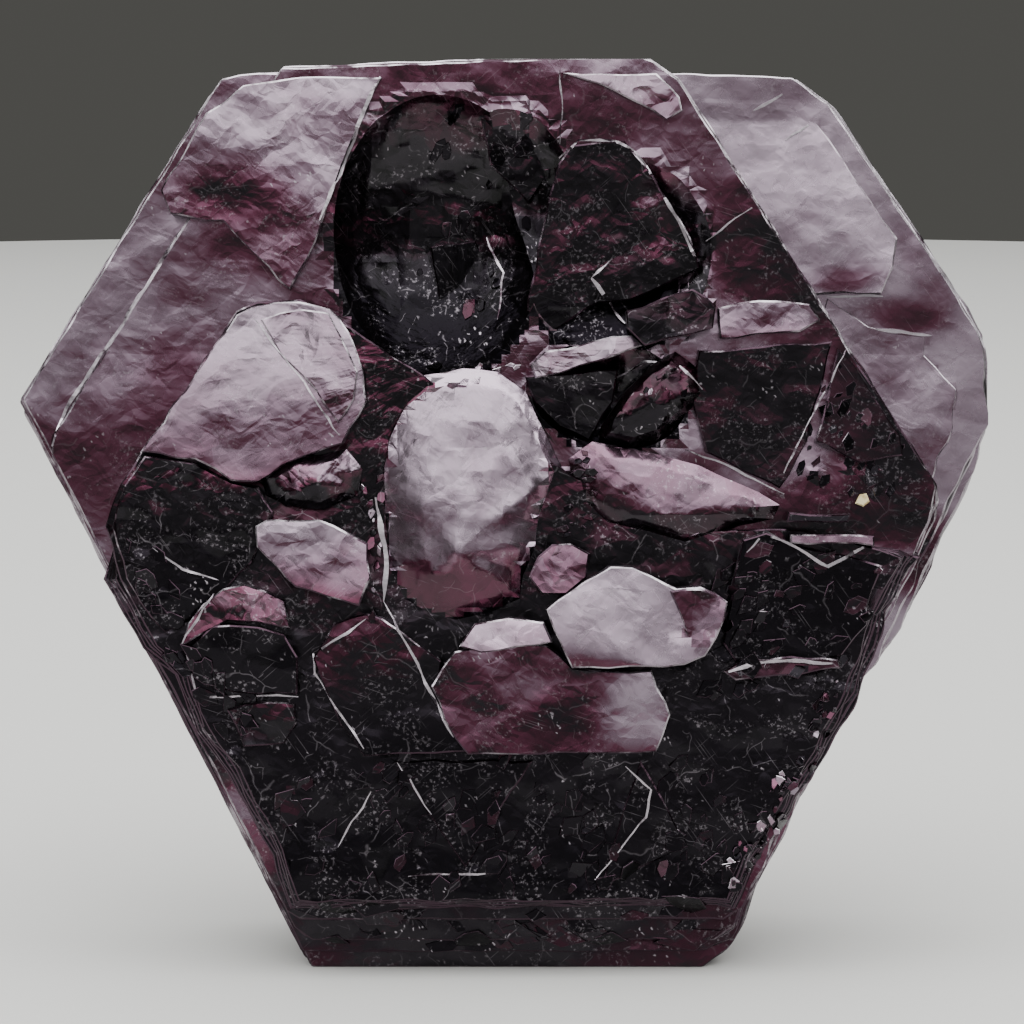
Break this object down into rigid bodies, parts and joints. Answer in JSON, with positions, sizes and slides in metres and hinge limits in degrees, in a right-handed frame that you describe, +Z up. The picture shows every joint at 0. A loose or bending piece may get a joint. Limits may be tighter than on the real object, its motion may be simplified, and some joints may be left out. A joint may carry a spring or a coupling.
{
  "type": "molybdenite crystal",
  "caption": "Thick six-sided metallic mineral crystal of stacked sheets, with a second grown on behind; stands on a flat foot.",
  "frame": {"origin": "middle of the bounding box's foot, on the surface that the crystal stands on", "axes": "+Z up, along the sheets but for their backward lean of 6 degrees; the broad front face looks along -Y; +X to the viewer's right"},
  "size_m": [0.0296, 0.0116, 0.0274],
  "materials": {
    "crystal": "bright metallic purple-grey cleavage, mirror-like on the sheets and duller on the stepped rims"
  },
  "bodies": {
    "root": {"crystal": "crystal"}
  },
  "joints": []
}
